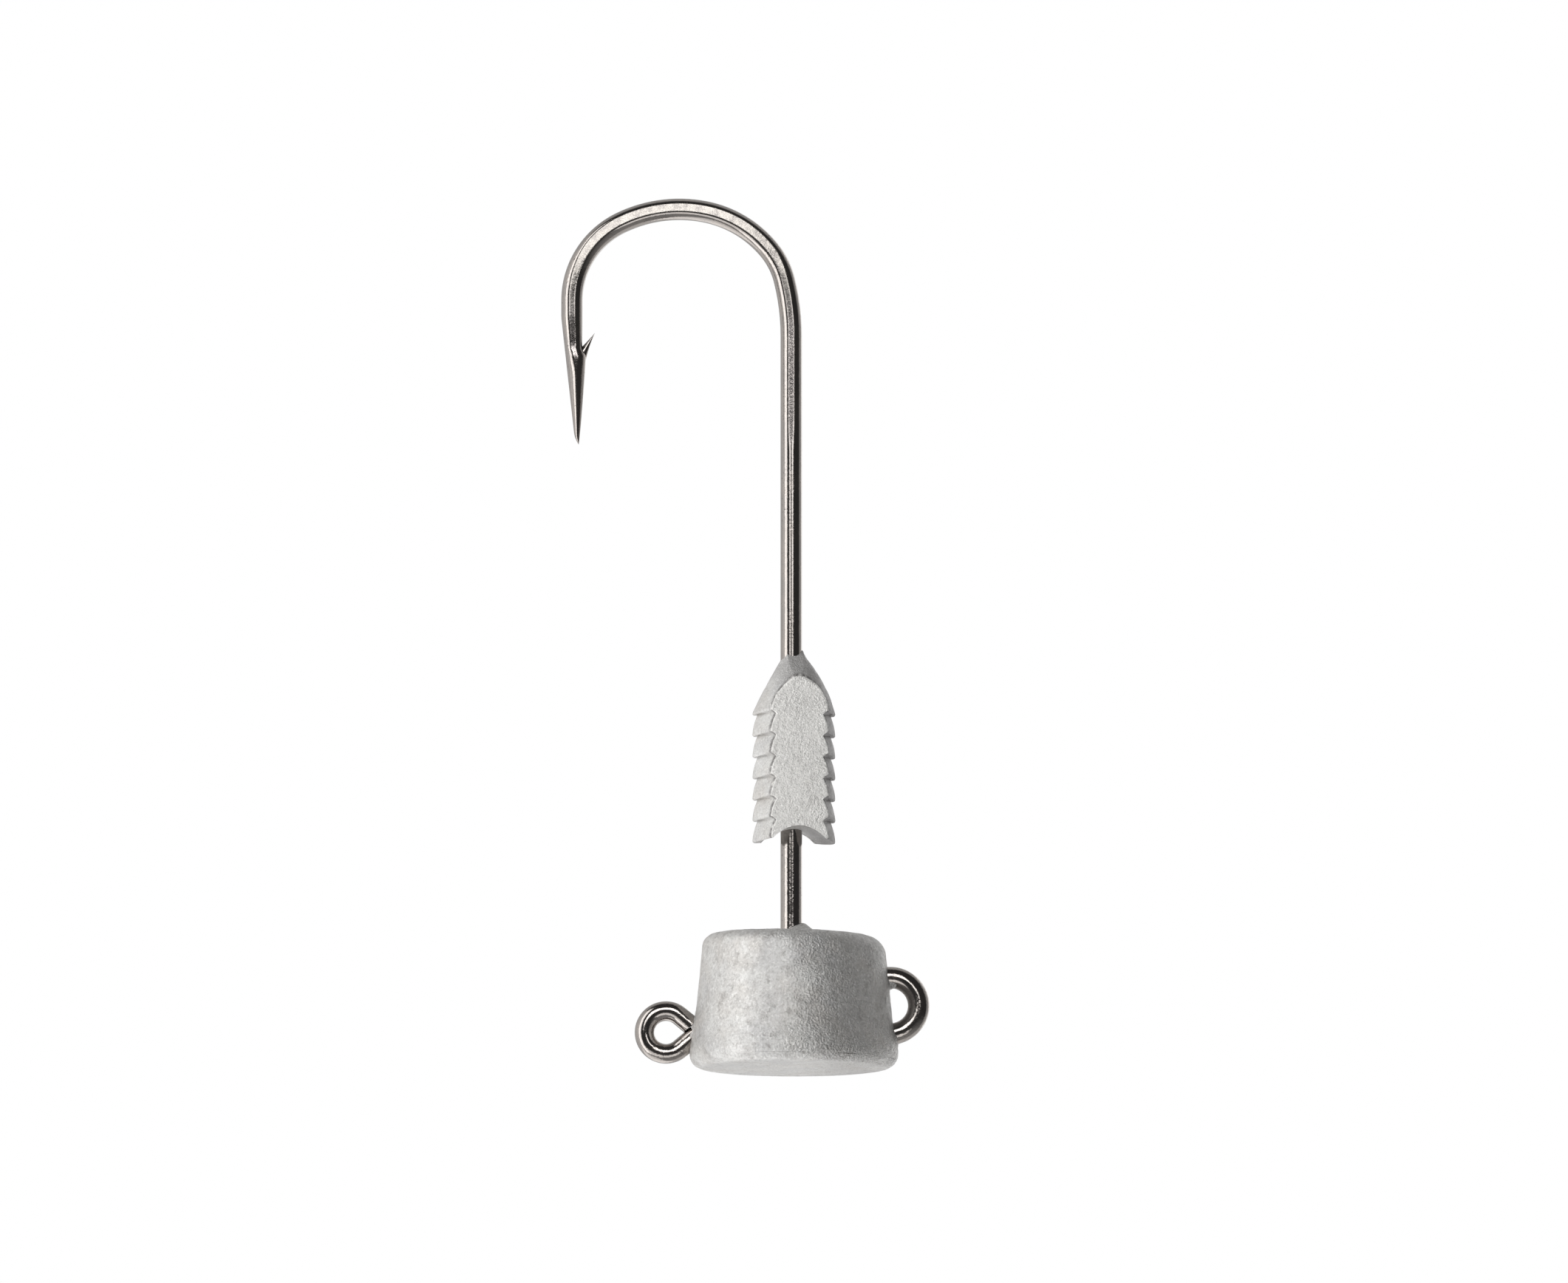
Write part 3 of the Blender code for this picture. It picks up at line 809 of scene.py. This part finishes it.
def keeper_runs(draft, side):
    """The runs of one side from nose to foot, each (start, end, bulge, number of points)."""
    first = KEEPER_BASE + BARB_PITCH * (BARB_ROWS - 1)
    half = mix(KEEPER_HALF_WIDTH, FACE_HALF_WIDTH, draft)
    start = (mix(*NOSE_HALF_WIDTH, draft), first + mix(NOSE_HEIGHT, FACE_NOSE_HEIGHT, draft))
    runs = []
    for row in range(BARB_ROWS):
        level = first - BARB_PITCH * row
        tip = level + mix(*TOOTH_TIP, draft)
        notch = (half - BARB_DEPTH, level + mix(*TOOTH_NOTCH, draft))
        if row > 0:
            bulge = TOOTH_BULGE
        elif side > 0:
            bulge = mix(*NOSE_BULGE_RIGHT, draft)
        else:
            bulge = mix(*NOSE_BULGE_LEFT, draft)
        shoulder = (half - 0.015 * MM, tip - 0.07 * MM)
        under = (half - 0.09 * MM, tip - 0.12 * MM)
        runs.append((start, (half, tip), bulge, 60 if row == 0 else 18))
        runs.append(((half, tip), shoulder, 0.0, 2))
        runs.append((shoulder, under, 0.0, 2))
        if row < BARB_ROWS - 1:
            runs.append((under, notch, -0.02 * MM, 5))
        start = notch
    return runs


def keeper_side(draft, side):
    """(half width, height) down one side of the outline."""
    points = []
    for start, end, bulge, count in keeper_runs(draft, side):
        dx, dz = end[0] - start[0], end[1] - start[1]
        size = math.hypot(dx, dz)
        for i in range(count):
            share = i / count
            out = 4 * bulge * share * (1 - share) / size
            points.append((start[0] + dx * share - dz * out, start[1] + dz * share + dx * out))
    points.append(end)
    return points


def keeper_row(right, left, foot_share):
    """One row of the face from the left side to the right, sagging into the foot's arch."""
    row = []
    for i in range(KEEPER_COLUMNS + 1):
        share = i / KEEPER_COLUMNS
        x = mix(-left[0], right[0], share)
        z = mix(left[1], right[1], share)
        across = 2 * share - 1
        row.append((x, z + FOOT_ARCH * foot_share * (1 - across**2)))
    return row


def keeper_grain(point, face):
    """How far the keeper's skin stands out: coarse on its faces and nose, finer on its flanks."""
    coarse = noise.fractal(point / (0.19 * MM), 0.8, 2.0, 2)
    face = max(face, 0.6 * smooth(NOSE_START, NOSE_FULL, point.z))
    fine = noise.noise(point / (0.6 * MM))
    return FACE_GRAIN * face * coarse + FLANK_GRAIN * fine


def keeper_layer(depth):
    """The whole outline at a depth, from -1 at the front face to 1 at the back."""
    draft = abs(depth) ** DRAFT_POWER
    right = keeper_side(draft, 1)
    left = keeper_side(draft, -1)
    rise = NOSE_HORN * (1 - smooth(*HORN_DEPTHS, abs(depth)))
    right[0] = (right[0][0] - 0.3 * rise, right[0][1] + rise)
    left[0] = (left[0][0] - 0.3 * rise, left[0][1] + rise)
    top = []
    for x, z in keeper_row(right[0], left[0], 0.0):
        top.append((x, z + NOSE_ROUND * draft * (1 - (x / right[0][0]) ** 2)))
    foot = keeper_row(right[-1], left[-1], 1.0)
    left_points = [(-x, z) for x, z in left]
    return top + right[1:-1] + list(reversed(foot)) + list(reversed(left_points[1:-1]))


def make_keeper(material):
    """A flat barbed bar, drafted from its parting plane to its faces, twisted a little about the
    shank."""
    verts = []
    depths = []
    for i in range(KEEPER_LAYERS + 1):
        t = 2 * i / KEEPER_LAYERS - 1
        depths.append(math.copysign(abs(t) ** 0.75, t))
    for depth in depths:
        y = depth * KEEPER_THICKNESS / 2
        for x, z in keeper_layer(depth):
            verts.append(Vector((x, y, z)))
    ring = len(verts) // len(depths)
    faces = tube_faces(len(depths), ring)
    side_rows = len(keeper_side(1.0, 1)) - 2
    columns = KEEPER_COLUMNS
    for face, depth in ((0, -1.0), (len(depths) - 1, 1.0)):
        base = face * ring
        right = keeper_side(1.0, 1)
        left = keeper_side(1.0, -1)
        bottom = right[-1][1]
        grid = [[base + i for i in range(columns + 1)]]
        for n in range(1, side_rows + 1):
            foot_share = 1 - smooth(0.0, FOOT_ARCH_FADE, (right[n][1] + left[n][1]) / 2 - bottom)
            inner = keeper_row(right[n], left[n], foot_share)[1:-1]
            row = [base + ring - n]
            for x, z in inner:
                row.append(len(verts))
                verts.append(Vector((x, depth * KEEPER_THICKNESS / 2, z)))
            row.append(base + columns + n)
            grid.append(row)
        foot_start = base + columns + side_rows + 1
        grid.append([foot_start + columns - i for i in range(columns + 1)])
        for upper, lower in zip(grid, grid[1:]):
            for i in range(columns):
                quad = (upper[i], upper[i + 1], lower[i + 1], lower[i])
                faces.append(quad if depth > 0 else tuple(reversed(quad)))
    on_face = [face_share(vert) for vert in verts]
    piece = mesh_piece(
        "keeper_casting", verts, faces, material, "face", on_face, sharp=KEEPER_SHARP_ANGLE
    )
    roughen(piece)
    piece.data.transform(Matrix.Rotation(math.radians(KEEPER_TWIST), 4, "Z"))
    return piece


def face_share(point):
    """1 on the keeper's flat faces, falling to 0 a little way down its flanks."""
    return smooth(*FACE_FADE, abs(point.y) / (KEEPER_THICKNESS / 2))


def roughen(piece):
    """Soften the keeper's nose, and push its skin in and out along its normals."""
    bm = bmesh.new()
    bm.from_mesh(piece.data)
    bmesh.ops.recalc_face_normals(bm, faces=bm.faces)
    nose = [vert for vert in bm.verts if vert.co.z > NOSE_START]
    axes = {"use_axis_x": True, "use_axis_y": True, "use_axis_z": True}
    for _ in range(NOSE_SMOOTHING):
        bmesh.ops.smooth_vert(bm, verts=nose, factor=0.5, **axes)
    bm.normal_update()
    moves = []
    for vert in bm.verts:
        moves.append(vert.normal * keeper_grain(vert.co, face_share(vert.co)))
    for vert, move in zip(bm.verts, moves):
        vert.co += move
    bm.to_mesh(piece.data)
    bm.free()
    piece.data.shade_smooth()
    piece.data.set_sharp_from_angle(angle=math.radians(KEEPER_SHARP_ANGLE))


# ---------------------------------------------------------------- studio


def direction(azimuth, elevation):
    """A unit vector from the object. Azimuth 0 is towards the camera and positive to its right."""
    a, e = math.radians(azimuth), math.radians(elevation)
    return Vector((math.sin(a) * math.cos(e), -math.cos(a) * math.cos(e), math.sin(e)))


def softbox(name, azimuth, elevation, width, height, brightness, distance):
    """A panel that faces the object. Width and height are the degrees it spans, and a brightness
    of 1 looks as bright as the backdrop."""
    light = bpy.data.lights.new(name, "AREA")
    light.shape = "RECTANGLE"
    light.size = 2 * distance * math.tan(math.radians(width / 2))
    light.size_y = 2 * distance * math.tan(math.radians(height / 2))
    light.energy = brightness * math.pi * light.size * light.size_y
    panel = bpy.data.objects.new(name, light)
    way = direction(azimuth, elevation)
    panel.location = LIGHTS_AIM + way * distance
    panel.rotation_mode = "QUATERNION"
    panel.rotation_quaternion = way.to_track_quat("Z", "Y")
    panel.visible_camera = False
    bpy.context.scene.collection.objects.link(panel)


def make_world():
    """A white backdrop to the camera. What it sheds on the object is bright from behind, from the
    left and from below, and dim from the front and the right."""
    world = bpy.data.worlds.new("studio")
    bpy.context.scene.world = world
    world.use_nodes = True
    world.node_tree.nodes.clear()
    nodes = Nodes(world.node_tree)
    x, y, z = nodes.axes(nodes.add("ShaderNodeTexCoord").outputs["Generated"])
    behind = nodes.spread(y, -0.10, 0.32, 0.07, 0.80)
    left = nodes.spread(nodes.times(x, -1.0), 0.45, 0.95, 0.0, 0.45)
    under = nodes.spread(nodes.times(z, -1.0), 0.1, 0.9, 0.0, 0.45)
    level = nodes.math("ADD", nodes.math("ADD", behind, left), under)
    shed = nodes.add("ShaderNodeBackground")
    nodes.link(level, shed, "Strength")
    seen = nodes.add("ShaderNodeBackground")
    seen.inputs["Color"].default_value = (1.0, 1.0, 1.0, 1.0)
    seen.inputs["Strength"].default_value = 1.0
    either = nodes.add("ShaderNodeMixShader")
    nodes.link(nodes.add("ShaderNodeLightPath").outputs["Is Camera Ray"], either, 0)
    world.node_tree.links.new(shed.outputs[0], either.inputs[1])
    world.node_tree.links.new(seen.outputs[0], either.inputs[2])
    output = nodes.add("ShaderNodeOutputWorld")
    nodes.link(either.outputs[0], output, "Surface")


def make_floor():
    """A pale floor under the object, which fades into the backdrop and is clear from below."""
    mesh = bpy.data.meshes.new("floor")
    signs = ((-1, -1), (1, -1), (1, 1), (-1, 1))
    corners = [(x * FLOOR_REACH, y * FLOOR_REACH, 0) for x, y in signs]
    mesh.from_pydata(corners, [], [(0, 1, 2, 3)])
    material = bpy.data.materials.new("pale_floor")
    material.use_nodes = True
    material.node_tree.nodes.clear()
    nodes = Nodes(material.node_tree)
    matte = nodes.add("ShaderNodeBsdfDiffuse")
    matte.inputs["Color"].default_value = FLOOR_COLOR
    glow = nodes.add("ShaderNodeEmission")
    glow.inputs["Strength"].default_value = FLOOR_GLOW
    lit = nodes.add("ShaderNodeAddShader")
    material.node_tree.links.new(matte.outputs[0], lit.inputs[0])
    material.node_tree.links.new(glow.outputs[0], lit.inputs[1])
    clear = nodes.add("ShaderNodeBsdfTransparent")
    either = nodes.add("ShaderNodeMixShader")
    geometry = nodes.add("ShaderNodeNewGeometry")
    far = nodes.add("ShaderNodeVectorMath", operation="LENGTH")
    nodes.link(geometry.outputs["Position"], far, 0)
    fade = nodes.spread(far.outputs["Value"], *FLOOR_FADE)
    nodes.link(nodes.math("MAXIMUM", geometry.outputs["Backfacing"], fade), either, 0)
    material.node_tree.links.new(lit.outputs[0], either.inputs[1])
    material.node_tree.links.new(clear.outputs[0], either.inputs[2])
    output = nodes.add("ShaderNodeOutputMaterial")
    nodes.link(either.outputs[0], output, "Surface")
    mesh.materials.append(material)
    floor = bpy.data.objects.new("floor", mesh)
    bpy.context.scene.collection.objects.link(floor)
    floor.location.z = -FLOOR_DROP
    floor.visible_diffuse = False
    floor.visible_glossy = False
    floor.visible_shadow = False


def make_camera():
    data = bpy.data.cameras.new("camera")
    data.lens = CAMERA_LENS
    data.sensor_width = 36.0
    data.clip_start = 0.1
    camera = bpy.data.objects.new("camera", data)
    back = direction(0, CAMERA_ELEVATION)
    camera.location = CAMERA_AIM + back * CAMERA_DISTANCE
    camera.rotation_mode = "QUATERNION"
    camera.rotation_quaternion = back.to_track_quat("Z", "Y")
    bpy.context.scene.collection.objects.link(camera)
    bpy.context.scene.camera = camera


def place(piece, node):
    """The piece stands for a CAD node, whose part it hides, and moves with the one body."""
    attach(piece, "root")
    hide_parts(node)


def main():
    bpy.context.scene.view_settings.view_transform = "Standard"
    make_camera()
    make_world()
    for light in LIGHTS:
        softbox(*light)
    make_floor()
    place(make_hook(black_nickel("black_nickel")), "hook")
    place(make_belly_loop(black_nickel("loop_nickel")), "belly_loop")
    head_lead = cast_lead(
        "head_lead", metallic=0.5, grain_size=0.17 * MM, grain_depth=0.062 * MM, stain=0.55,
        # painted highlight on the web at the loop, and a paler patch round the eye's neck
        face_color=PAINTED_LIGHT_AND_PALE_COLOR,
    )
    place(make_head(head_lead), "weight_head")
    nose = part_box("bait_keeper")[1].z - NOSE_DARKENING
    keeper_lead = cast_lead(
        "keeper_lead", metallic=0.12, grain_size=0.12 * MM, grain_depth=0.034 * MM, stain=0.22,
        face_color=FACE_COLOR, nose=nose,
    )
    place(make_keeper(keeper_lead), "bait_keeper")


main()
